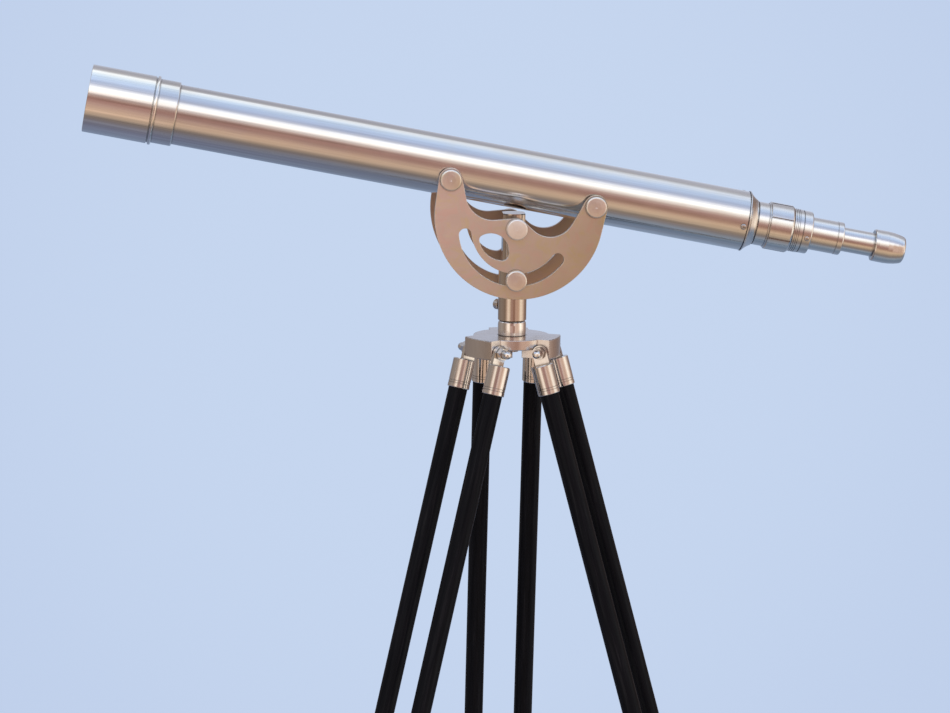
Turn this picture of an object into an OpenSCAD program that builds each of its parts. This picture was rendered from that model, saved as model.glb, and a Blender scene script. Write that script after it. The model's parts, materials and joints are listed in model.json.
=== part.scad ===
// Floor-standing refractor telescope on a wooden tripod.
// Millimetres, +Z up. The origin is on the floor, under the pan axis.
// The telescope lies along X: the eyepiece is at +X and the objective at -X, raised by the tilt.

/* [Stand] */
// Height of the tripod head's top face above the floor
hub_top = 1330; // [1200:5:1400]
// Turn of the head's two front lobes about the pan axis, in degrees
hub_turn = 7.8; // [0:0.1:12]
// Splay of the two front legs from the vertical, in degrees
front_splay = 16.2; // [10:0.1:22]
// Splay of the back leg from the vertical, in degrees
back_splay = 8.5; // [6:0.1:22]
// Diameter of the wooden rods
rod_d = 22.8; // [18:0.2:26]
// Distance between the twin rods of a leg, centre to centre
rod_spacing = 61.8; // [56:0.2:66]

/* [Telescope] */
// Upward tilt of the objective, in degrees
tilt = 10.3; // [-20:0.1:20]
// Outer radius of the main tube
tube_r = 35.5; // [33:0.1:36]
// Wall of the main tube
tube_wall = 1.5; // [1:0.1:2]
// Height of the tube's axis above the tilt pivot
axis_rise = 54.5; // [54:0.1:58]
// Outer radius of the sunshade
shade_r = 40; // [39.6:0.1:41]

/* [Yoke] */
// Height of the tilt pivot above the tripod head
pivot_rise = 133.5; // [130:0.5:140]
// Distance from the pan axis to the middle of each yoke plate
plate_y = 42.7; // [42:0.1:46]
// Thickness of a yoke plate
plate_t = 6; // [4:0.5:7]
// Radius of the clamping arc, from the pivot
arc_r = 61; // [60:0.5:62]
// Reach of the clamping slot on the objective side, from its lowest point, in degrees
slot_left = 73; // [50:1:75]
// Reach of the clamping slot on the eyepiece side, in degrees
slot_right = 64; // [50:1:75]
// Width of the clamping slot
slot_w = 15; // [12:0.5:16]

/* [Hidden] */
$fn = 72;

nickel = [0.74, 0.69, 0.63];
nickel_dark = [0.62, 0.56, 0.50];
ebony = [0.05, 0.04, 0.04];
glass = [0.80, 0.88, 0.92, 0.5];

pivot_z = hub_top + pivot_rise;
// ends of a yoke plate's horns, from the pivot
horn_x = 87.4;
horn_y = 42.6;
horn_r = 13.8;
gap = 0.05;
pads = 7;

// leg a is the back one, b is front left and c is front right
leg_turn = [90, 210 + hub_turn, 330 + hub_turn];
leg_splay = [back_splay, front_splay, front_splay];
hinge_r = 43.6;
hinge_drop = 15.2;
lug_r = 8.8;
lug_y = 26.1;
lug_t = 4.6;
tip_r = 6;
rod_r = rod_d / 2;
half_spacing = rod_spacing / 2;
lobe_half = 23.5;
// distances down a leg, from its hinge
cap_top = 14.4;
cap_end = 50;
bracket_top = 690;
bracket_h = 34;
function foot_len(i) = (hub_top - hinge_drop - tip_r) / cos(leg_splay[i]);
lower_len = 800;
function slide_top(i) = foot_len(i) - lower_len;

// stations along the tube, from the pivot, eyepiece positive
shade_front = -521.7;
shade_back = -440.7;
cell_front = -470;
cell_back = -416.6;
tube_front = -436;
tube_back = 270.4;
ring_back = 283;
neck_back = 297;
grip_back = 328;
collar_back = 351.2;
mid_back = 391;
cup_front = 430;
cup_back = 468;
// turn of the guide screw round the tube, from the underside
guide_turn = -79;

// ---- frames ----

module yoke_frame() {
    translate([0, 0, pivot_z])
    rotate([0, tilt, 0])
    children();
}

module tube_frame(s = 0) {
    yoke_frame()
    translate([s, 0, axis_rise])
    rotate([0, 90, 0])
    children();
}

module leg_frame(i) {
    rotate([0, 0, leg_turn[i]])
    translate([hinge_r, 0, hub_top - hinge_drop])
    rotate([0, 180 - leg_splay[i], 0])
    children();
}

// a ring of revolution from a list of [radius, station] points
module turned(points) {
    rotate_extrude()
    polygon(points);
}

module tube_piece(s0, s1, ro, ri) {
    tube_frame(s0)
    difference() {
        cylinder(h = s1 - s0, r = ro);
        translate([0, 0, -1])
        cylinder(h = s1 - s0 + 2, r = ri);
    }
}

// ---- telescope ----

module sunshade() {
    len = shade_back - shade_front;
    color(nickel)
    tube_frame(shade_front)
    turned([[38.1, 0.8], [38.7, 0], [39.5, 0], [shade_r, 0.5], [shade_r, len - 5.5],
        [shade_r - 1.4, len - 5.4], [shade_r - 1.4, len - 3.8], [shade_r + 0.4, len - 3.6],
        [shade_r + 0.9, len - 2.6], [shade_r + 0.9, len - 1.4], [shade_r + 0.4, len - 0.4],
        [shade_r - 0.4, len], [38.1, len]]);
}

module objective_cell() {
    len = cell_back - cell_front;
    color(nickel)
    tube_frame(cell_front)
    turned([[35.3, 0], [37.6, 0], [38, 0.4], [38, len - 1.4], [37.7, len - 0.5], [37, len],
        [tube_r + gap, len], [tube_r + gap, 33.9], [33.5, 33.9], [33.5, 25], [35.3, 25]]);
}

module lens_retaining_ring() {
    color(nickel_dark)
    tube_frame(-467)
    difference() {
        turned([[31.5, 0.6], [32.1, 0], [35.2, 0], [35.2, 5], [33, 5]]);
        for (a = [0, 180])
        rotate([0, 0, a])
        translate([33.6, 0, -1])
        cube([4, 2.4, 4], center = true);
    }
}

// points [radius, height] of a shallow dome of radius r and half width w, rising towards its middle
function dome(r, w, edge, n = 14) =
    [for (k = [0:n]) let (x = w * k / n) [x, edge + sqrt(r * r - x * x) - sqrt(r * r - w * w)]];
function flipped(points) = [for (k = [len(points) - 1:-1:0]) [points[k][0], -points[k][1]]];

module objective_lens() {
    top = dome(150, 35, 3);
    color(glass)
    tube_frame(-453.6)
    turned(concat(top, flipped(top)));
}

module main_tube() {
    color(nickel)
    tube_piece(tube_front, tube_back, tube_r, tube_r - tube_wall);
}

module tube_end_ring() {
    color(nickel)
    tube_frame(tube_back)
    turned([[26.1, 0], [tube_r - 1.6, 0], [tube_r - 1.6, 0.9], [tube_r + 0.5, 1],
        [tube_r + 0.9, 1.4], [tube_r + 0.9, 2.1], [tube_r + 0.4, 2.6], [tube_r - 0.4, 3.1],
        [33.6, 4.4], [31.8, 6.4], [30.2, 8.3], [28.5, 10.7], [28, 11.8], [27.2, 12.6], [26.1, 12.6]]);
    // the skirt that slips into the main tube
    color(nickel)
    tube_frame(tube_back - 22)
    difference() {
        cylinder(h = 22, r = tube_r - tube_wall - gap);
        translate([0, 0, -1])
        cylinder(h = 24, r = 31.5);
    }
}

module end_ring_screws() {
    color(nickel_dark)
    tube_frame(tube_back - 4.4)
    for (a = [-84, 36, 156])
    rotate([0, 0, a])
    translate([tube_r - 0.2, 0, 0])
    rotate([0, 90, 0])
    difference() {
        turned([[0, 0.25], [3.3, 0.25], [3.3, 1], [2.5, 1.8], [1.2, 2.2], [0, 2.3]]);
        translate([0, 0, 2.3])
        cube([8, 0.9, 1.8], center = true);
    }
}

module focus_barrel() {
    color(nickel)
    tube_frame(tube_back + 2)
    difference() {
        union() {
            cylinder(h = ring_back - tube_back - 2, r = 26);
            translate([0, 0, ring_back - tube_back - 0.4])
            cylinder(h = neck_back - ring_back - 1.6, r = 26);
            cylinder(h = collar_back - tube_back - 4, r = 23.4);
        }
        translate([0, 0, -1])
        cylinder(h = 100, r = 20.05);
    }
}

// the turning grip: a ring with raised pads between its grooves
module focus_ring() {
    len = grip_back - neck_back;
    color(nickel)
    tube_frame(neck_back + 0.2)
    difference() {
        turned([[23.45, 0], [26.4, 0], [26.9, 0.5], [26.9, 1.6], [28.5, 2.4], [28.5, len - 2.8],
            [27.6, len - 1.4], [26.6, len - 0.4], [23.45, len - 0.4]]);
        for (k = [0:pads - 1])
        rotate([0, 0, 360 * k / pads - 116.5])
        translate([28.6, 0, len / 2 + 0.4])
        cube([3, 2.3, len - 4.4], center = true);
    }
}

module barrel_collar() {
    color(nickel)
    tube_frame(grip_back)
    difference() {
        turned([[23.45, 0], [25.3, 0], [25.9, 0.5], [25.9, 2], [25.3, 2.1], [25.3, 2.7],
            [25.9, 2.8], [25.9, 4.1], [25.3, 4.2], [25.3, 4.8], [25.9, 4.9], [25.9, 6.2],
            [25.3, 6.3], [25.3, 6.9], [25.9, 7], [25.9, 11.2], [24.5, 11.3], [24.5, 12.4],
            [25.5, 12.5], [25.5, 21.9], [24.9, 22.8], [24.1, 23.2], [20.3, 23.2], [20.3, 21.5],
            [23.45, 21.5]]);
        rotate([0, 0, guide_turn])
        translate([22, 0, 17.5])
        rotate([0, 90, 0])
        cylinder(h = 5, r = 1.6);
    }
}

module guide_screw() {
    color(nickel_dark)
    tube_frame(grip_back + 17.5)
    rotate([0, 0, guide_turn])
    translate([23.5, 0, 0])
    rotate([0, 90, 0])
    difference() {
        union() {
            cylinder(h = 2.1, r = 1.55);
            translate([0, 0, 2.1])
            turned([[0, 0], [2.9, 0], [2.9, 0.5], [2.2, 1.1], [1.1, 1.4], [0, 1.5]]);
        }
        translate([0, 0, 3.6])
        cube([7, 0.7, 1.4], center = true);
    }
}

module middle_draw_tube() {
    color(nickel)
    tube_frame(300)
    turned([[18.6, 0], [20, 0], [20, 8], [19.6, 8.3], [19.6, 82.6], [19.3, 82.8], [19.3, 83.6],
        [19.9, 84], [19.9, 89.6], [19.4, 90.6], [18.6, 91], [14.45, 91], [14.45, 86], [18.6, 86]]);
}

module inner_draw_tube() {
    color(nickel)
    tube_frame(340)
    turned([[13.2, 0], [18.5, 0], [18.5, 6], [14.4, 6], [14.4, cup_front - 342.4],
        [13.8, cup_front - 342.3], [13.8, cup_front - 340.2], [14.4, cup_front - 340.1],
        [14.4, cup_back - 345], [13.2, cup_back - 345]]);
}

module eyepiece_cup() {
    len = cup_back - cup_front;
    color(nickel)
    tube_frame(cup_front)
    turned([[14.45, 0], [17.6, 0], [18.9, 0.6], [19.2, 1.6], [19.3, 5], [19.4, 16], [19, 22],
        [18, 28.5], [16.8, 33.5], [16, 35.8], [15, 37.2], [13.5, len], [8.2, len], [6.6, 36.4],
        [6.6, 34.8], [12, 34.8], [12, 33.2], [14.45, 33.2]]);
}

module eye_lens() {
    top = dome(30, 11.5, 1.3, 10);
    color(glass)
    tube_frame(460)
    turned(concat(top, flipped(top)));
}

// ---- yoke ----

// points of an arc round [x, y], from angle a0 to a1
function arc(x, y, r, a0, a1, n) =
    [for (k = [0:n]) let (a = a0 + (a1 - a0) * k / n) [x + r * cos(a), y + r * sin(a)]];

// Closed outline round a chain of circles [x, y, radius], joined by their common tangents.
// It runs anticlockwise; a negative radius is a hollow, which it follows clockwise.
function limited(v) = min(1, max(-1, v));
function tangent(a, b) = atan2(b[1] - a[1], b[0] - a[0])
    - acos(limited((a[2] - b[2]) / norm([b[0] - a[0], b[1] - a[1]])));
function swept(from, to, r) =
    r > 0 ? (to < from ? swept(from, to + 360, r) : to >= from + 360 ? swept(from, to - 360, r) : to)
    : (to > from ? swept(from, to - 360, r) : to <= from - 360 ? swept(from, to + 360, r) : to);
module chain(circles, step = 4) {
    n = len(circles);
    polygon([for (i = [0:n - 1])
        let (c = circles[i],
            from = tangent(circles[(i + n - 1) % n], c),
            to = swept(from, tangent(c, circles[(i + 1) % n]), c[2]),
            m = max(3, round(abs(to - from) * sqrt(abs(c[2])) / 5 / step)))
        for (k = [0.5:1:m])
        let (a = from + (to - from) * k / m)
        [c[0] + c[2] * cos(a), c[1] + c[2] * sin(a)]]);
}

// flat outline of a yoke plate, x along the tube and y up: the great arc, the right horn,
// two hollows with the boss of the pivot between them, and the left horn
module plate_outline() {
    chain([[0, 15.9, 99.8], [horn_x, horn_y, horn_r], [36, 26, -29], [0, 0, 12.4],
        [-35, 37.5, -33.2], [-horn_x, horn_y, horn_r]]);
}

// the slot along the clamping arc, with round ends, from angle a0 to a1
module arc_slot(r, w, a0, a1) {
    polygon(concat(
        arc(0, 0, r + w / 2, a0, a1, 72),
        arc(r * cos(a1), r * sin(a1), w / 2, a1 + 8, a1 + 172, 12),
        arc(0, 0, r - w / 2, a1, a0, 60),
        arc(r * cos(a0), r * sin(a0), w / 2, a0 + 188, a0 + 352, 12)));
}

// lightening window on the objective side, a rounded quarter inside the clamping arc
module window() {
    chain([[-13, -11, 29.6], [-11, -32.5, 8], [-25, -32.3, 22], [-36, -19.4, 5]], 3);
}

module yoke_plate() {
    rotate([90, 0, 0])
    difference() {
        linear_extrude(height = plate_t, center = true)
        difference() {
            plate_outline();
            arc_slot(arc_r, slot_w, -90 - slot_left, -90 + slot_right);
            window();
        }
        cylinder(h = plate_t + 2, r = 5.05, center = true);
        for (x = [-horn_x, horn_x])
        translate([x, horn_y, 0])
        cylinder(h = plate_t + 2, r = 3.1, center = true);
    }
}

module yoke_plate_front() {
    color(nickel)
    yoke_frame()
    translate([0, -plate_y, 0])
    yoke_plate();
}

module yoke_plate_back() {
    color(nickel)
    yoke_frame()
    translate([0, plate_y, 0])
    yoke_plate();
}

// bushes between the plates and the tube, cut to the tube's curve
module horn_spacers() {
    color(nickel_dark)
    yoke_frame()
    for (x = [-horn_x, horn_x], s = [-1, 1])
    difference() {
        translate([x, s * (plate_y - plate_t / 2), horn_y])
        rotate([s * 90, 0, 0])
        cylinder(h = 16, r = 8.5);
        translate([x - 20, 0, axis_rise])
        rotate([0, 90, 0])
        cylinder(h = 40, r = tube_r + 0.02);
        translate([x, 0, horn_y])
        rotate([90, 0, 0])
        cylinder(h = 100, r = 3.1, center = true);
    }
}

module horn_screws() {
    color(nickel)
    yoke_frame()
    for (x = [-horn_x, horn_x], s = [-1, 1])
    translate([x, s * (plate_y + plate_t / 2), horn_y])
    rotate([s * -90, 0, 0]) {
        turned([[0, 0], [12, 0], [12.5, 0.5], [12.5, 3.6], [12.1, 4.4], [11, 5], [6, 5.5], [0, 5.7]]);
        translate([0, 0, -plate_t - 2.6])
        cylinder(h = plate_t + 2.6, r = 3.05);
    }
}

// ---- pillar, bolts and knobs ----

module pillar() {
    top = 13.6;
    step = -48;
    low = 18.4 - pivot_rise;
    color(nickel)
    translate([0, 0, pivot_z])
    difference() {
        union() {
            translate([0, 0, low])
            turned([[0, 0], [16.6, 0], [17, 0.4], [17, step - low - 1], [16.6, step - low],
                [0, step - low]]);
            intersection() {
                translate([0, 0, step - 1])
                turned([[0, 0], [17, 0], [17, top - step - 0.2], [16, top - step + 1],
                    [0, top - step + 1]]);
                translate([-13.2, -20, step - 2])
                cube([26.4, 40, 80]);
            }
        }
        translate([0, 0, low - 1])
        cylinder(h = 47, r = 10.05);
        translate([0, 0, 0])
        rotate([90, 0, 0])
        cylinder(h = 60, r = 5.05, center = true);
        translate([0, 0, -arc_r])
        rotate([90, 0, 0])
        cylinder(h = 60, r = 5.05, center = true);
        // threaded hole of the azimuth screw
        translate([0, 0, azimuth_z])
        rotate([0, 0, azimuth_turn])
        rotate([0, 90, 0])
        cylinder(h = 30, r = 3.05);
    }
}

azimuth_z = 34 - pivot_rise;
azimuth_turn = 130;

module cross_bolt(z) {
    translate([0, 0, pivot_z + z])
    rotate([90, 0, 0])
    cylinder(h = 2 * plate_y + plate_t + 14, r = 5, center = true);
}

module pivot_bolt() {
    color(nickel_dark)
    cross_bolt(0);
}

module clamp_bolt() {
    color(nickel_dark)
    cross_bolt(-arc_r);
}

// bushes that fill the space between the pillar and the plates
module bolt_spacers() {
    color(nickel_dark)
    translate([0, 0, pivot_z])
    for (z = [0, -arc_r], s = [-1, 1])
    difference() {
        translate([0, s * 16.3, z])
        rotate([s * -90, 0, 0])
        cylinder(h = plate_y - plate_t / 2 - 0.1 - 16.3, r = 10);
        translate([0, 0, z])
        rotate([90, 0, 0])
        cylinder(h = 100, r = 5.05, center = true);
        // the flats and the round of the pillar
        translate([0, 0, z])
        cylinder(h = 80, r = 17.02, center = true);
    }
}

// round thumb nut with a domed face, on a bolt along Y
module thumb_nut(z, s, h) {
    translate([0, s * (plate_y + plate_t / 2 + 0.1), pivot_z + z])
    rotate([s * -90, 0, 0])
    difference() {
        turned([[0, 0], [9, 0], [9, 1.2], [11.8, 1.2], [12.5, 1.9], [12.5, h - 2.4], [12.1, h - 1.3],
            [11, h - 0.6], [7, h - 0.1], [0, h + 0.3]]);
        translate([0, 0, -1])
        cylinder(h = 8.3, r = 5.03);
    }
}

module pivot_knob_front() {
    color(nickel)
    thumb_nut(0, -1, 10.5);
}

module pivot_knob_back() {
    color(nickel)
    thumb_nut(0, 1, 10.5);
}

module clamp_knob_front() {
    color(nickel)
    thumb_nut(-arc_r, -1, 10.5);
}

module clamp_knob_back() {
    color(nickel)
    thumb_nut(-arc_r, 1, 10.5);
}

module azimuth_screw() {
    color(nickel)
    translate([0, 0, pivot_z + azimuth_z])
    rotate([0, 0, azimuth_turn])
    rotate([0, 90, 0])
    translate([0, 0, 10.3]) {
        cylinder(h = 10.7, r = 3);
        translate([0, 0, 8.7])
        turned([[0, 0], [3.6, 0], [3.6, 1.8], [5.9, 1.8], [6.4, 2.4], [6.4, 7.4], [5.9, 8.3], [4, 8.8], [0, 9.1]]);
    }
}

module spindle() {
    color(nickel)
    translate([0, 0, hub_top])
    turned([[0, -20], [8, -20], [8, 0], [16.2, 0], [16.6, 0.5], [16.9, 4], [16.9, 13],
        [16.4, 16], [15.2, 17.6], [13.8, 18.1], [10, 18.1], [10, 60], [9, 61.5], [0, 61.5]]);
}

// ---- tripod ----

module tripod_head() {
    color(nickel_dark)
    translate([0, 0, hub_top])
    difference() {
        union() {
            translate([0, 0, -12])
            turned([[0, 0], [45.4, 0], [46, 0.6], [46, 11.4], [45.4, 12], [0, 12]]);
            for (a = leg_turn)
            rotate([0, 0, a])
            lobe();
        }
        translate([0, 0, -30])
        cylinder(h = 40, r = 8.02);
        for (a = leg_turn)
        rotate([0, 0, a])
        translate([hinge_r, 0, -hinge_drop])
        rotate([90, 0, 0]) {
            cylinder(h = 80, r = 4.05, center = true);
            // round pockets that leave room for the lugs under the disc
            for (s = [-1, 1])
            translate([0, 0, s * (lobe_half + 6)])
            cylinder(h = 12, r = lug_r + 0.5, center = true);
        }
    }
}

// one lobe of the head, a block with a gently rounded outer face
module lobe() {
    intersection() {
        translate([20, -lobe_half, -23])
        cube([50, 2 * lobe_half, 23]);
        union() {
            translate([-21, 0, -22.4])
            cylinder(h = 22.4 - 0.6, r = 78.5, $fn = 180);
            translate([-21, 0, -23])
            cylinder(h = 23, r = 77.9, $fn = 180);
        }
        translate([20, -100, -60])
        cube([60, 200, 60]);
    }
}

// hexagon with a domed end, as on both ends of a leg's bolt
module acorn() {
    cylinder(h = 6.4, r = 7.5, $fn = 6);
    translate([0, 0, 6.4])
    turned([[0, 0], [5.2, 0], [5.2, 4.8], [4.8, 6.8], [3.7, 8.7], [2, 9.9], [0, 10.2]]);
}

// which end of a leg's bolt has the nut: the end that faces forwards
nut_side = [1, -1, 1];

// bolt through a lobe and both lugs
module leg_bolt(i) {
    color(nickel)
    leg_frame(i)
    rotate([nut_side[i] * 90, 0, 0])
    translate([0, 0, -lug_y - lug_t / 2 - 0.2]) {
        cylinder(h = 64, r = 4);
        mirror([0, 0, 1])
        acorn();
    }
}

module leg_nut(i) {
    color(nickel)
    leg_frame(i)
    rotate([nut_side[i] * 90, 0, 0])
    translate([0, 0, lug_y + lug_t / 2 + 0.2])
    difference() {
        acorn();
        translate([0, 0, -1])
        cylinder(h = 8.6, r = 4.02);
    }
}

// metal cap of a rod, with the lug that takes the bolt
module ferrules(i) {
    color(nickel)
    leg_frame(i)
    for (s = [-1, 1]) {
        translate([0, s * half_spacing, cap_top])
        difference() {
            turned([[0, 0], [12.2, 0], [13.2, 1], [13.2, 26.6], [12.8, 26.8], [12.8, 27.4],
                [13.2, 27.6], [13.2, 29.4], [12.8, 29.6], [12.8, 30.2], [13.2, 30.4], [13.2, 34.6],
                [12.8, 35.2], [0, 35.2]]);
            translate([0, 0, 5])
            cylinder(h = 40, r = rod_r + 0.02);
        }
        difference() {
            union() {
                translate([0, s * lug_y, 0])
                rotate([90, 0, 0])
                cylinder(h = lug_t, r = lug_r, center = true);
                translate([-lug_r, s * lug_y - lug_t / 2, 0])
                cube([2 * lug_r, lug_t, cap_top + 1]);
            }
            translate([0, s * lug_y, 0])
            rotate([90, 0, 0])
            cylinder(h = 10, r = 4.02, center = true);
        }
    }
}

module upper_rods(i) {
    color(ebony)
    leg_frame(i)
    for (s = [-1, 1])
    translate([0, s * half_spacing, cap_top + 5])
    cylinder(h = bracket_top + bracket_h - 4 - cap_top - 5, r = rod_r);
}

// flat bar with round ends, seen along the leg
module bar_outline(r) {
    square([2 * r, rod_spacing], center = true);
    for (s = [-1, 1])
    translate([0, s * half_spacing])
    circle(r = r);
}

// lower bracket: the upper rods end in it and the lower rod slides through it
module leg_bracket(i) {
    color(nickel)
    leg_frame(i)
    translate([0, 0, bracket_top])
    difference() {
        union() {
            linear_extrude(height = bracket_h)
            bar_outline(14.4);
            translate([-14, 0, bracket_h / 2])
            rotate([0, -90, 0])
            cylinder(h = 5, r = 8);
        }
        for (s = [-1, 1])
        translate([0, s * half_spacing, -1])
        cylinder(h = bracket_h - 3, r = rod_r + 0.02);
        translate([0, 0, -1])
        cylinder(h = bracket_h + 2, r = rod_r + 0.08);
        translate([0, 0, bracket_h / 2])
        rotate([0, -90, 0])
        cylinder(h = 30, r = 3.05);
    }
}

// upper bracket of the lower rod, sliding on the upper rods
module slide_bracket(i) {
    color(nickel)
    leg_frame(i)
    translate([0, 0, slide_top(i)])
    difference() {
        linear_extrude(height = 22)
        bar_outline(14.4);
        for (s = [-1, 1])
        translate([0, s * half_spacing, -1])
        cylinder(h = 24, r = rod_r + 0.08);
        translate([0, 0, 4])
        cylinder(h = 24, r = rod_r + 0.02);
    }
}

module lower_rod(i) {
    color(ebony)
    leg_frame(i)
    translate([0, 0, slide_top(i) + 4])
    cylinder(h = foot_len(i) - slide_top(i) - 4 - 30, r = rod_r);
}

// turned foot with a blunt round tip
module foot(i) {
    color(nickel)
    leg_frame(i)
    translate([0, 0, foot_len(i)])
    difference() {
        union() {
            turned([[0, -62], [12.6, -62], [13.2, -61.4], [13.2, -26], [12.6, -25], [12.4, -24],
                [8, -4], [tip_r, 0], [0, 0]]);
            sphere(r = tip_r);
        }
        translate([0, 0, -70])
        cylinder(h = 40, r = rod_r + 0.02);
    }
}

// thumbscrew that holds the lower rod
module leg_clamp(i) {
    color(nickel)
    leg_frame(i)
    translate([0, 0, bracket_top + bracket_h / 2])
    rotate([0, -90, 0])
    translate([0, 0, rod_r + 0.3]) {
        cylinder(h = 12, r = 3);
        translate([0, 0, 10])
        turned([[0, 0], [5, 0], [5, 2], [10.2, 2], [11, 2.8], [11, 9.4], [10.4, 10.4], [7, 11],
            [0, 11.3]]);
    }
}

module leg_bolt_a() { leg_bolt(0); }
module leg_bolt_b() { leg_bolt(1); }
module leg_bolt_c() { leg_bolt(2); }
module leg_nut_a() { leg_nut(0); }
module leg_nut_b() { leg_nut(1); }
module leg_nut_c() { leg_nut(2); }
module ferrules_a() { ferrules(0); }
module ferrules_b() { ferrules(1); }
module ferrules_c() { ferrules(2); }
module upper_rods_a() { upper_rods(0); }
module upper_rods_b() { upper_rods(1); }
module upper_rods_c() { upper_rods(2); }
module leg_bracket_a() { leg_bracket(0); }
module leg_bracket_b() { leg_bracket(1); }
module leg_bracket_c() { leg_bracket(2); }
module slide_bracket_a() { slide_bracket(0); }
module slide_bracket_b() { slide_bracket(1); }
module slide_bracket_c() { slide_bracket(2); }
module lower_rod_a() { lower_rod(0); }
module lower_rod_b() { lower_rod(1); }
module lower_rod_c() { lower_rod(2); }
module foot_a() { foot(0); }
module foot_b() { foot(1); }
module foot_c() { foot(2); }
module leg_clamp_a() { leg_clamp(0); }
module leg_clamp_b() { leg_clamp(1); }
module leg_clamp_c() { leg_clamp(2); }

sunshade();
objective_cell();
lens_retaining_ring();
objective_lens();
main_tube();
tube_end_ring();
end_ring_screws();
focus_barrel();
focus_ring();
barrel_collar();
guide_screw();
middle_draw_tube();
inner_draw_tube();
eyepiece_cup();
eye_lens();
yoke_plate_front();
yoke_plate_back();
horn_spacers();
horn_screws();
pillar();
pivot_bolt();
clamp_bolt();
bolt_spacers();
pivot_knob_front();
pivot_knob_back();
clamp_knob_front();
clamp_knob_back();
azimuth_screw();
spindle();
tripod_head();
leg_bolt_a();
leg_bolt_b();
leg_bolt_c();
leg_nut_a();
leg_nut_b();
leg_nut_c();
ferrules_a();
ferrules_b();
ferrules_c();
upper_rods_a();
upper_rods_b();
upper_rods_c();
leg_bracket_a();
leg_bracket_b();
leg_bracket_c();
slide_bracket_a();
slide_bracket_b();
slide_bracket_c();
lower_rod_a();
lower_rod_b();
lower_rod_c();
foot_a();
foot_b();
foot_c();
leg_clamp_a();
leg_clamp_b();
leg_clamp_c();
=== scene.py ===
import json
import math

import bpy
from mathutils import Matrix, Vector


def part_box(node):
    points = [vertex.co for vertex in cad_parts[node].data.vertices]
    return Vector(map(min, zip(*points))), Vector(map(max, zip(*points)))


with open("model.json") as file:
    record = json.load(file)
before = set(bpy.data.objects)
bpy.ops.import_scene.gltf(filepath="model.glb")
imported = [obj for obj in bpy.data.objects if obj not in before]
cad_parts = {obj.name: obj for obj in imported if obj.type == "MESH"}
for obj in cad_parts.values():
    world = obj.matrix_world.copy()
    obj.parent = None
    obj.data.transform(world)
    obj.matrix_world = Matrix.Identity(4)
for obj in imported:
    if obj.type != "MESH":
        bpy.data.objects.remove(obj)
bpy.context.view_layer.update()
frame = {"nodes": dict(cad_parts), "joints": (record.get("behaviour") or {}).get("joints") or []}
nodes = frame["nodes"]
joints = {j["name"]: j for j in frame["joints"]}
scene = bpy.context.scene
scene.view_settings.view_transform = "Standard"

# ---- directions and places, all from the frame ----
TUBE_AXIS = Vector(joints["sunshade_slide"]["axis"])          # towards the eyepiece
TILT = math.atan2(-TUBE_AXIS.z, TUBE_AXIS.x)
HEAD_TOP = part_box("tripod_head")[1].z
# the camera: turn to the right, look down and roll in degrees, distance in metres, lens in sensor widths
CAMERA_TURN, CAMERA_DOWN, CAMERA_ROLL = 4.18, 9.66, 0.79
CAMERA_DISTANCE = 4.120
CAMERA_LENS = 3.6212632
CAMERA_TARGET = (-0.0438, 0, HEAD_TOP - 0.0267)
SENSOR = 36
FLOOR_RADIUS = 2.6
LEG_AXIS = {leg: Vector(joints["leg_slide_" + leg]["axis"]) for leg in "abc"}


def lin(r, g, b, gain=1.0):
    out = []
    for v in (r, g, b):
        v = v / 255
        out.append((v / 12.92 if v <= 0.04045 else ((v + 0.055) / 1.055) ** 2.4) * gain)
    return out


# ---- camera ----
def make_camera():
    psi, e, roll = (math.radians(v) for v in (CAMERA_TURN, CAMERA_DOWN, CAMERA_ROLL))
    look = Vector((math.sin(psi) * math.cos(e), math.cos(psi) * math.cos(e), -math.sin(e)))
    right = Vector((math.cos(psi), -math.sin(psi), 0))
    up = right.cross(look)
    c, s = math.cos(roll), math.sin(roll)
    right, up = c * right + s * up, c * up - s * right
    at = Vector(CAMERA_TARGET) - look * CAMERA_DISTANCE
    data = bpy.data.cameras.new("camera")
    data.sensor_width = SENSOR
    data.lens = SENSOR * CAMERA_LENS
    data.clip_start, data.clip_end = 0.1, 60
    cam = bpy.data.objects.new("camera", data)
    scene.collection.objects.link(cam)
    m = Matrix((right, up, -look)).transposed().to_4x4()
    m.translation = at
    cam.matrix_world = m
    scene.camera = cam


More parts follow.
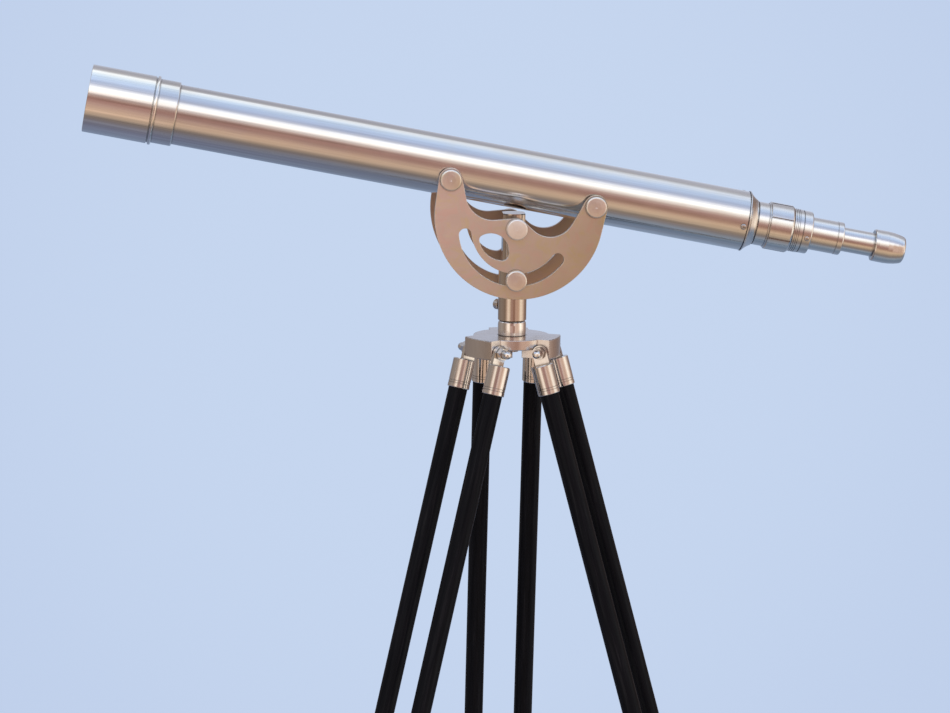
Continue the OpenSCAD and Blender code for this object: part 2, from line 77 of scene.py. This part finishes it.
# ---- small helpers for node trees ----
class Tree:
    def __init__(self, tree):
        self.t = tree

    def add(self, kind, **values):
        n = self.t.nodes.new("ShaderNode" + kind)
        for k, v in values.items():
            if k.startswith("in_"):
                n.inputs[k[3:].replace("_", " ")].default_value = v
            else:
                setattr(n, k, v)
        return n

    def link(self, a, b):
        self.t.links.new(a, b)

    def math(self, op, a, b=None, clamp=False):
        n = self.add("Math", operation=op, use_clamp=clamp)
        for i, v in enumerate((a, b)):
            if v is None:
                continue
            if isinstance(v, (int, float)):
                n.inputs[i].default_value = v
            else:
                self.link(v, n.inputs[i])
        return n.outputs[0]

    def ramp(self, fac, stops):
        n = self.add("ValToRGB")
        n.color_ramp.interpolation = "LINEAR"
        els = n.color_ramp.elements
        while len(els) > 1:
            els.remove(els[-1])
        for i, (pos, col) in enumerate(stops):
            e = els[0] if i == 0 else els.new(pos)
            e.position = pos
            e.color = (*col, 1)
        self.link(fac, n.inputs[0])
        return n.outputs[0]

    def remap(self, v, a, b, c, d, smooth=False):
        n = self.add("MapRange", interpolation_type="SMOOTHSTEP" if smooth else "LINEAR")
        for k, x in zip(("From Min", "From Max", "To Min", "To Max"), (a, b, c, d)):
            n.inputs[k].default_value = x
        self.link(v, n.inputs["Value"])
        return n.outputs[0]

    def mix(self, fac, a, b, blend="MIX"):
        n = self.add("Mix", data_type="RGBA", blend_type=blend)
        for sock, v in ((n.inputs[0], fac), (n.inputs[6], a), (n.inputs[7], b)):
            if isinstance(v, (int, float)):
                sock.default_value = v
            elif isinstance(v, (tuple, list)):
                sock.default_value = (*v, 1) if len(v) == 3 else v
            else:
                self.link(v, sock)
        return n.outputs[2]


# ---- surroundings: soft studio light as a gradient, and a pale floor ----
METAL = (0.78, 0.74, 0.70)              # plain nickel
BRIGHT, GLARE = 236, 1.12               # bands over this level are lamps, brighter than white
BACKDROP_EDGE, BACKDROP_MIDDLE = (192, 208, 235), (198, 214, 239)


def make_world():
    """A studio of soft bands of light, as polished round metal shows it, and a pale backdrop.
    Each ramp's stops are an angle in degrees and the colour seen there on nickel."""
    world = bpy.data.worlds.new("studio")
    scene.world = world
    world.use_nodes = True
    world.node_tree.nodes.clear()
    t = Tree(world.node_tree)
    out = t.add("OutputWorld")
    coord = t.add("TexCoord")
    sep = t.add("SeparateXYZ")
    t.link(coord.outputs["Generated"], sep.inputs[0])
    x, y, z = sep.outputs
    # pitch round the telescope's own axis: 0 is the front horizon, 90 up, 180 the back horizon
    lift = t.math("ADD", t.math("MULTIPLY", z, math.cos(TILT)), t.math("MULTIPLY", x, math.sin(TILT)))
    along = t.math("SUBTRACT", t.math("MULTIPLY", x, math.cos(TILT)), t.math("MULTIPLY", z, math.sin(TILT)))
    pitch = t.math("ARCTAN2", lift, t.math("MULTIPLY", y, -1))
    pitch = t.math("ADD", pitch, t.remap(along, 0.155, 0.185, 0, 0.14))
    fac = t.remap(pitch, -math.pi, math.pi, 0, 1)

    def seen(r, g, b):
        gain = GLARE if min(r, g, b) > BRIGHT else 1.0
        return [c / m for c, m in zip(lin(r, g, b, gain), METAL)]

    def round_ramp(fac, stops):
        return t.ramp(fac, [((deg + 180) / 360, seen(*c)) for deg, *c in stops])

    left = round_ramp(fac, [
        (-180, 128, 139, 158), (-150, 115, 126, 147), (-120, 107, 115, 136), (-95, 103, 105, 124),
        (-76, 114, 112, 124), (-62, 112, 102, 101), (-54, 122, 109, 101), (-48, 155, 135, 119),
        (-42, 184, 158, 138), (-34, 199, 168, 145), (-22, 180, 149, 132), (-10, 173, 141, 130),
        (-2, 161, 125, 116), (5, 150, 112, 103), (11, 141, 108, 98), (16, 153, 126, 118),
        (21, 179, 158, 152), (27, 232, 219, 213), (32, 254, 248, 244), (46, 254, 254, 255),
        (50, 236, 238, 247), (56, 191, 195, 212), (61, 178, 186, 210), (71, 176, 191, 222),
        (84, 184, 203, 233), (98, 206, 223, 243), (108, 234, 243, 251), (117, 240, 244, 249),
        (124, 176, 176, 181), (134, 154, 152, 159), (160, 168, 169, 180), (180, 180, 184, 198)])
    right = round_ramp(fac, [
        (-180, 145, 158, 178), (-150, 131, 145, 166), (-112, 118, 130, 149), (-95, 106, 121, 141),
        (-82, 123, 137, 153), (-71, 139, 145, 155), (-61, 130, 125, 126), (-53, 125, 113, 108),
        (-44, 148, 131, 115), (-35, 174, 152, 129), (-26, 192, 165, 137), (-19, 202, 171, 144),
        (-14, 188, 153, 128), (-8, 150, 114, 94), (-1, 150, 113, 98), (5, 158, 120, 109),
        (10, 163, 128, 118), (16, 194, 166, 155), (22, 216, 198, 186), (28, 250, 241, 229),
        (34, 254, 252, 246), (46, 253, 253, 254), (50, 243, 244, 251), (56, 203, 206, 222),
        (62, 180, 187, 210), (72, 175, 189, 217), (88, 189, 208, 237), (106, 219, 228, 243),
        (115, 206, 211, 222), (124, 170, 170, 176), (145, 170, 170, 180), (180, 190, 195, 210)])
    tube_side = t.mix(t.remap(along, 0.02, 0.15, 0, 1), left, right)
    # what stands to the left and right, as upright round pieces see it
    turn = t.math("ARCTAN2", x, t.math("MULTIPLY", y, -1))
    side = round_ramp(t.remap(turn, -math.pi, math.pi, 0, 1), [
        (-180, 160, 158, 166), (-145, 122, 112, 109), (-115, 136, 124, 115), (-94, 142, 129, 119),
        (-76, 133, 117, 105), (-60, 136, 117, 102), (-50, 190, 167, 149), (-41, 240, 218, 201),
        (-32, 255, 238, 220), (-22, 226, 204, 180), (-13, 203, 181, 154), (0, 206, 186, 156),
        (12, 192, 162, 137), (23, 210, 177, 159), (38, 194, 161, 142), (52, 213, 180, 158),
        (66, 255, 240, 222), (78, 255, 240, 221), (90, 232, 209, 191), (104, 173, 150, 136),
        (120, 138, 112, 98), (140, 124, 108, 102), (180, 160, 158, 166)])
    wide = t.remap(t.math("ABSOLUTE", x), 0.27, 0.40, 0, 1, True)
    low = t.remap(t.math("ABSOLUTE", z), 0.24, 0.55, 1, 0, True)
    light = t.mix(t.math("MULTIPLY", wide, low), tube_side, side)
    lamp = t.add("Background", in_Strength=1.0)
    t.link(light, lamp.inputs["Color"])
    # the plain backdrop that the camera sees, a little brighter in the middle
    back = t.add("Background")
    dot = t.add("VectorMath", operation="DOT_PRODUCT")
    t.link(coord.outputs["Generated"], dot.inputs[0])
    dot.inputs[1].default_value = Vector((0.07, 0.985, -0.155)).normalized()
    t.link(t.ramp(t.remap(dot.outputs["Value"], 0.983, 1.0, 0, 1, True),
                  [(0.0, lin(*BACKDROP_EDGE)), (1.0, lin(*BACKDROP_MIDDLE))]), back.inputs["Color"])
    path = t.add("LightPath")
    m = t.add("MixShader")
    t.link(path.outputs["Is Camera Ray"], m.inputs[0])
    t.link(lamp.outputs[0], m.inputs[1])
    t.link(back.outputs[0], m.inputs[2])
    t.link(m.outputs[0], out.inputs[0])


def make_lights():
    def area(name, at, aim, size, power, colour):
        d = bpy.data.lights.new(name, "AREA")
        d.shape, d.size, d.energy, d.color = "DISK", size, power, colour
        o = bpy.data.objects.new(name, d)
        scene.collection.objects.link(o)
        o.location = at
        o.rotation_euler = (Vector(aim) - Vector(at)).to_track_quat("-Z", "Y").to_euler()
        o.visible_glossy = False
        return o
    area("key", (-1.8, -2.6, 3.4), (0, 0, 1.0), 1.6, 60, (1, 0.97, 0.93))
    area("fill", (2.6, -1.6, 2.4), (0, 0, 1.1), 1.6, 25, (1, 0.95, 0.9))


def make_floor():
    bpy.ops.mesh.primitive_circle_add(vertices=128, radius=FLOOR_RADIUS, fill_type="NGON",
                                      location=(0, 0, 0))
    floor = bpy.context.object
    floor.name = "floor"
    mat = bpy.data.materials.new("floor")
    mat.use_nodes = True
    t = Tree(mat.node_tree)
    bsdf = mat.node_tree.nodes["Principled BSDF"]
    bsdf.inputs["Roughness"].default_value = 0.8
    noise = t.add("TexNoise", in_Scale=3.0, in_Detail=4.0)
    t.link(t.ramp(noise.outputs[0], [(0.3, lin(205, 214, 230)), (0.7, lin(212, 220, 234))]),
           bsdf.inputs["Base Color"])
    # its rim fades into the backdrop
    coord = t.add("TexCoord")
    length = t.add("VectorMath", operation="LENGTH")
    t.link(coord.outputs["Object"], length.inputs[0])
    fade = t.remap(length.outputs["Value"], 1.5, 2.55, 0, 1, True)
    clear = t.add("BsdfTransparent")
    m = t.add("MixShader")
    t.link(fade, m.inputs[0])
    t.link(bsdf.outputs[0], m.inputs[1])
    t.link(clear.outputs[0], m.inputs[2])
    t.link(m.outputs[0], mat.node_tree.nodes["Material Output"].inputs[0])
    floor.data.materials.append(mat)
    floor.visible_glossy = False


# ---- materials ----
SHADE_REACH = 0.0022         # how far the painted shade reaches from a groove's walls


def scaled(t, source, sx, sy, sz):
    m = t.add("Mapping")
    m.inputs["Scale"].default_value = (sx, sy, sz)
    t.link(source, m.inputs[0])
    return m.outputs[0]


def turned_to(axis):
    """The turn that lays a pattern's x along the axis."""
    return Vector((1, 0, 0)).rotation_difference(axis).inverted().to_euler()


def edge_sheen_mask(t, size):
    """0 on flat faces, 1 on sharp edges, where the finish gets a painted highlight."""
    soft = t.add("Bevel", samples=6)
    soft.inputs["Radius"].default_value = size
    geo = t.add("NewGeometry")
    dot = t.add("VectorMath", operation="DOT_PRODUCT")
    t.link(soft.outputs[0], dot.inputs[0])
    t.link(geo.outputs["Normal"], dot.inputs[1])
    return soft.outputs[0], t.remap(dot.outputs["Value"], 0.97, 0.80, 0.0, 1.0)


def nickel(name, base, rough, axis=None, turned=0.0, streak=0.5, cloud=0.5, bump=0.06, grain=(5, 420),
           rings=0.0, edge=0.0, painted_light_slope=None, mottle=24.0, crease_shade=0.75,
           tarnish=0.0, edge_sheen=0.8):
    """Brushed nickel. Fibres run along the axis, rings run round it, and soft clouds, faint
    stains and small changes of gloss lie over both. Turned metal smears light along its axis.
    Painted shade darkens grooves and inner corners, painted highlights brighten sharp edges,
    and painted light and shade can slope across a plate."""
    mat = bpy.data.materials.new(name)
    mat.use_nodes = True
    t = Tree(mat.node_tree)
    bsdf = mat.node_tree.nodes["Principled BSDF"]
    bsdf.inputs["Metallic"].default_value = 1.0
    axis = Vector(axis if axis else (1, 0, 0)).normalized()
    coord = t.add("TexCoord")
    turn = t.add("Mapping")
    turn.inputs["Rotation"].default_value = turned_to(axis)
    t.link(coord.outputs["Object"], turn.inputs[0])
    body = turn.outputs[0]
    fibre = t.add("TexNoise", in_Scale=1.0, in_Detail=5.0, in_Roughness=0.62)
    t.link(scaled(t, body, grain[0], grain[1], grain[1]), fibre.inputs["Vector"])
    bands = t.add("TexNoise", in_Scale=1.0, in_Detail=3.0, in_Roughness=0.5)
    t.link(scaled(t, body, grain[0] * 0.5, grain[1] * 0.15, grain[1] * 0.15), bands.inputs["Vector"])
    ring = t.add("TexNoise", in_Scale=1.0, in_Detail=4.0, in_Roughness=0.6)
    t.link(scaled(t, body, 900, 9, 9), ring.inputs["Vector"])
    stain = t.add("TexNoise", in_Scale=mottle, in_Detail=5.0, in_Roughness=0.6, in_Distortion=0.3)
    t.link(body, stain.inputs["Vector"])
    patch = t.add("TexNoise", in_Scale=mottle * 0.3, in_Detail=3.0, in_Roughness=0.5)
    t.link(body, patch.inputs["Vector"])
    # gloss
    r = t.remap(fibre.outputs[0], 0.3, 0.7, rough * (1 - 0.20 * streak), rough * (1 + 0.24 * streak))
    r = t.math("ADD", r, t.remap(stain.outputs[0], 0.35, 0.7, -0.025, 0.045))
    # colour
    col = t.ramp(fibre.outputs[0], [(0.3, [c * (1 - 0.16 * streak) for c in base]), (0.5, base),
                                    (0.72, [min(1, c * (1 + 0.10 * streak)) for c in base])])
    col = t.mix(t.remap(bands.outputs[0], 0.42, 0.64, 0.0, 0.5 * streak), col, [c * 0.86 for c in base])
    warm = [base[0] * 0.97, base[1] * 0.92, base[2] * 0.84]
    pale = [min(1, base[0] * 1.06), min(1, base[1] * 1.05), min(1, base[2] * 1.06)]
    col = t.mix(t.remap(stain.outputs[0], 0.46, 0.70, 0.0, 0.75 * cloud), col, warm)
    col = t.mix(t.remap(patch.outputs[0], 0.52, 0.72, 0.0, 0.6 * cloud), col, pale)
    if tarnish:
        film = t.add("TexNoise", in_Scale=mottle * 1.6, in_Detail=3.0, in_Roughness=0.55, in_Distortion=0.8)
        t.link(body, film.inputs["Vector"])
        straw = [base[0] * 1.0, base[1] * 1.0, base[2] * 0.72]
        rosy = [base[0] * 1.05, base[1] * 0.94, base[2] * 0.93]
        col = t.mix(t.remap(film.outputs[0], 0.50, 0.68, 0.0, tarnish), col, straw)
        col = t.mix(t.remap(film.outputs[0], 0.50, 0.34, 0.0, tarnish), col, rosy)
    if rings:
        col = t.mix(t.remap(ring.outputs[0], 0.42, 0.66, 0.0, rings), col, [c * 0.80 for c in base])
    # painted light and shade: the colour is multiplied by a gradient along a line, lighter at its start and
    # darker at its end
    if painted_light_slope:
        a, b, lo, hi = painted_light_slope
        v = Vector(b) - Vector(a)
        dot = t.add("VectorMath", operation="DOT_PRODUCT")
        t.link(coord.outputs["Object"], dot.inputs[0])
        dot.inputs[1].default_value = v
        start = v.dot(Vector(a))
        col = t.mix(1.0, col, t.ramp(t.remap(dot.outputs["Value"], start, start + v.length_squared, 0, 1),
                                     [(0, lo), (0.5, (1, 1, 1)), (1, hi)]), "MULTIPLY")
    soft = None
    if edge:
        soft, sheen_mask = edge_sheen_mask(t, edge)
        # painted highlight: sharp edges are painted brighter than the faces, and made a little rougher
        col = t.mix(t.math("MULTIPLY", sheen_mask, edge_sheen), col, [min(1, c * 1.45) for c in base])
        r = t.math("ADD", r, t.math("MULTIPLY", sheen_mask, 0.15 * edge_sheen))
    # painted shade: ambient occlusion darkens grooves, inner corners and the gaps between parts, and makes
    # them rougher
    occlusion = t.add("AmbientOcclusion", samples=6)
    occlusion.inputs["Distance"].default_value = SHADE_REACH
    painted_shade = t.remap(occlusion.outputs["AO"], 0.45, 0.95, crease_shade, 0.0)
    col = t.mix(painted_shade, col, [c * 0.16 for c in base])
    t.link(col, bsdf.inputs["Base Color"])
    t.link(t.math("ADD", r, t.math("MULTIPLY", painted_shade, 0.2)), bsdf.inputs["Roughness"])
    b1 = t.add("Bump", in_Strength=bump, in_Distance=0.0004)
    t.link(fibre.outputs[0], b1.inputs["Height"])
    b2 = t.add("Bump", in_Strength=bump * 1.2, in_Distance=0.0008)
    t.link(bands.outputs[0], b2.inputs["Height"])
    if soft:
        t.link(soft, b1.inputs["Normal"])
    t.link(b1.outputs[0], b2.inputs["Normal"])
    last = b2.outputs[0]
    if rings:
        b3 = t.add("Bump", in_Strength=bump * 0.8, in_Distance=0.0002)
        t.link(ring.outputs[0], b3.inputs["Height"])
        t.link(last, b3.inputs["Normal"])
        last = b3.outputs[0]
    t.link(last, bsdf.inputs["Normal"])
    if turned:
        bsdf.inputs["Anisotropic"].default_value = turned
        to_world = t.add("VectorTransform", vector_type="VECTOR", convert_from="OBJECT", convert_to="WORLD")
        to_world.inputs[0].default_value = axis
        t.link(to_world.outputs[0], bsdf.inputs["Tangent"])
    return mat


def wood(name, leg):
    """Ebonised wood: near black, with a fine lengthwise grain under a satin varnish."""
    mat = bpy.data.materials.new(name)
    mat.use_nodes = True
    t = Tree(mat.node_tree)
    bsdf = mat.node_tree.nodes["Principled BSDF"]
    along = LEG_AXIS[leg]
    coord = t.add("TexCoord")
    m = t.add("Mapping")
    m.inputs["Rotation"].default_value = turned_to(along)
    t.link(coord.outputs["Object"], m.inputs[0])
    grain = t.add("TexNoise", in_Scale=1.0, in_Detail=6.0, in_Roughness=0.65, in_Distortion=0.4)
    t.link(scaled(t, m.outputs[0], 12, 260, 260), grain.inputs["Vector"])
    stain = t.add("TexNoise", in_Scale=14.0, in_Detail=3.0)
    t.link(m.outputs[0], stain.inputs["Vector"])
    col = t.ramp(grain.outputs[0], [(0.32, (0.0021, 0.0021, 0.0030)), (0.55, (0.0046, 0.0044, 0.0058)),
                                    (0.75, (0.012, 0.0110, 0.0125))])
    t.link(col, bsdf.inputs["Base Color"])
    r1 = t.remap(grain.outputs[0], 0.3, 0.7, 0.46, 0.34)
    r2 = t.remap(stain.outputs[0], 0.3, 0.7, -0.05, 0.07)
    t.link(t.math("ADD", r1, r2), bsdf.inputs["Roughness"])
    bsdf.inputs["Specular IOR Level"].default_value = 0.07
    bsdf.inputs["Coat Weight"].default_value = 0.02
    bsdf.inputs["Coat Roughness"].default_value = 0.25
    bsdf.inputs["Specular Tint"].default_value = (0.80, 0.92, 1.0, 1)
    b = t.add("Bump", in_Strength=0.25, in_Distance=0.0003)
    t.link(grain.outputs[0], b.inputs["Height"])
    t.link(b.outputs[0], bsdf.inputs["Normal"])
    return mat


def glass(name):
    mat = bpy.data.materials.new(name)
    mat.use_nodes = True
    t = Tree(mat.node_tree)
    bsdf = mat.node_tree.nodes["Principled BSDF"]
    bsdf.inputs["Base Color"].default_value = (0.92, 0.95, 0.97, 1)
    bsdf.inputs["Transmission Weight"].default_value = 1.0
    bsdf.inputs["IOR"].default_value = 1.52
    bsdf.inputs["Coat Weight"].default_value = 0.3
    bsdf.inputs["Coat Roughness"].default_value = 0.03
    coord = t.add("TexCoord")
    dust = t.add("TexNoise", in_Scale=220.0, in_Detail=3.0)
    t.link(coord.outputs["Object"], dust.inputs["Vector"])
    t.link(t.remap(dust.outputs[0], 0.55, 0.8, 0.01, 0.10), bsdf.inputs["Roughness"])
    return mat


def assign(node, mat):
    o = nodes[node]
    if not o.data.materials:
        o.data.materials.append(mat)
    for i in range(len(o.data.materials)):
        o.data.materials[i] = mat


make_camera()
make_world()
make_lights()
make_floor()

AXIS = tuple(TUBE_AXIS)
UP = (0, 0, 1)
ACROSS = (0, 1, 0)
plate_lo, plate_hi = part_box("yoke_plate_front")
tube_metal = nickel("nickel_tube", METAL, 0.14, AXIS, turned=0.8, streak=1.3, bump=0.04, grain=(3, 380))
shade_metal = nickel("nickel_sunshade", (0.88, 0.83, 0.77), 0.13, AXIS, turned=0.8, streak=1.3, bump=0.04,
                     grain=(3, 380))
fitting_metal = nickel("nickel_fittings", METAL, 0.14, AXIS, turned=0.5, streak=0.8, rings=0.3,
                       bump=0.04, grain=(6, 500))
sleeve_metal = nickel("nickel_sleeve", (0.62, 0.53, 0.45), 0.16, UP, streak=0.9, rings=0.2, bump=0.04,
                      grain=(8, 500))
collar_metal = nickel("nickel_collar", (0.88, 0.84, 0.80), 0.13, UP, streak=0.9, rings=0.25, bump=0.04,
                      grain=(8, 500))
dark_metal = nickel("nickel_dark", (0.62, 0.57, 0.53), 0.3, ACROSS, streak=0.5, grain=(30, 300))
knob_metal = nickel("nickel_knob", (0.84, 0.79, 0.73), 0.30, ACROSS, streak=0.3, cloud=1.0,
                    grain=(20, 300), edge=0.0007)
screw_metal = nickel("nickel_screw", (0.84, 0.79, 0.73), 0.32, ACROSS, streak=0.3, cloud=1.0,
                     grain=(20, 300), edge=0.0016, edge_sheen=0.0, tarnish=0.5)
pale_metal = nickel("nickel_knob_pale", (0.95, 0.90, 0.85), 0.46, ACROSS, streak=0.3, cloud=1.0,
                    grain=(20, 300), edge=0.0007)
head_metal = nickel("nickel_head", (0.70, 0.64, 0.60), 0.24, UP, streak=0.3, cloud=0.8, bump=0.04,
                    grain=(40, 200), edge=0.0008)
# the front plate is painted lighter at its upper left and darker at its lower right, painted light and
# shade
light_to_shade = ((plate_lo.x, 0, plate_hi.z), (plate_hi.x, 0, plate_lo.z))
front_plate = nickel("nickel_plate", (0.745, 0.68, 0.61), 0.38, (1, 0, 0.2), streak=0.12, cloud=1.0,
                     grain=(40, 260), edge=0.0010, mottle=38.0, tarnish=0.7,
                     painted_light_slope=(*light_to_shade, (1.21, 1.165, 1.24), (0.76, 0.69, 0.54)))
# painted shade: the back plate is the same nickel as the front plate, given a darker, browner colour for
# the shade between the two plates
shaded_back_plate = nickel("nickel_plate_back_shaded", (0.53, 0.42, 0.34), 0.36, (1, 0, 0.2), streak=0.12, cloud=1.0,
                    grain=(40, 260), edge=0.0010, mottle=38.0, tarnish=0.5)
lens = glass("lens_glass")
woods = {leg: wood("ebonised_wood_" + leg, leg) for leg in "abc"}
leg_metals = {leg: nickel("nickel_leg_" + leg, METAL, 0.15, LEG_AXIS[leg], streak=0.9, rings=0.2,
                          bump=0.04, grain=(8, 500)) for leg in "abc"}

for name in nodes:
    if name == "sunshade":
        assign(name, shade_metal)
    elif name in ("objective_cell", "main_tube"):
        assign(name, tube_metal)
    elif name in ("objective_lens", "eye_lens"):
        assign(name, lens)
    elif name == "yoke_plate_front":
        assign(name, front_plate)
    elif name == "yoke_plate_back":
        assign(name, shaded_back_plate)
    elif name.startswith(("upper_rods", "lower_rod_")):
        assign(name, woods[name[-1]])
    elif name.startswith("pivot_knob"):
        assign(name, pale_metal)
    elif name == "horn_screws":
        assign(name, screw_metal)
    elif "knob" in name or name.startswith("leg_clamp_"):
        assign(name, knob_metal)
    elif name in ("pillar", "spindle"):
        assign(name, sleeve_metal if name == "pillar" else collar_metal)
    elif name == "tripod_head":
        assign(name, head_metal)
    elif name in ("lens_retaining_ring", "end_ring_screws", "guide_screw", "horn_spacers",
                  "pivot_bolt", "clamp_bolt", "bolt_spacers", "azimuth_screw"):
        assign(name, dark_metal)
    elif name[-2:] in ("_a", "_b", "_c"):
        assign(name, leg_metals[name[-1]])
    else:
        assign(name, fitting_metal)
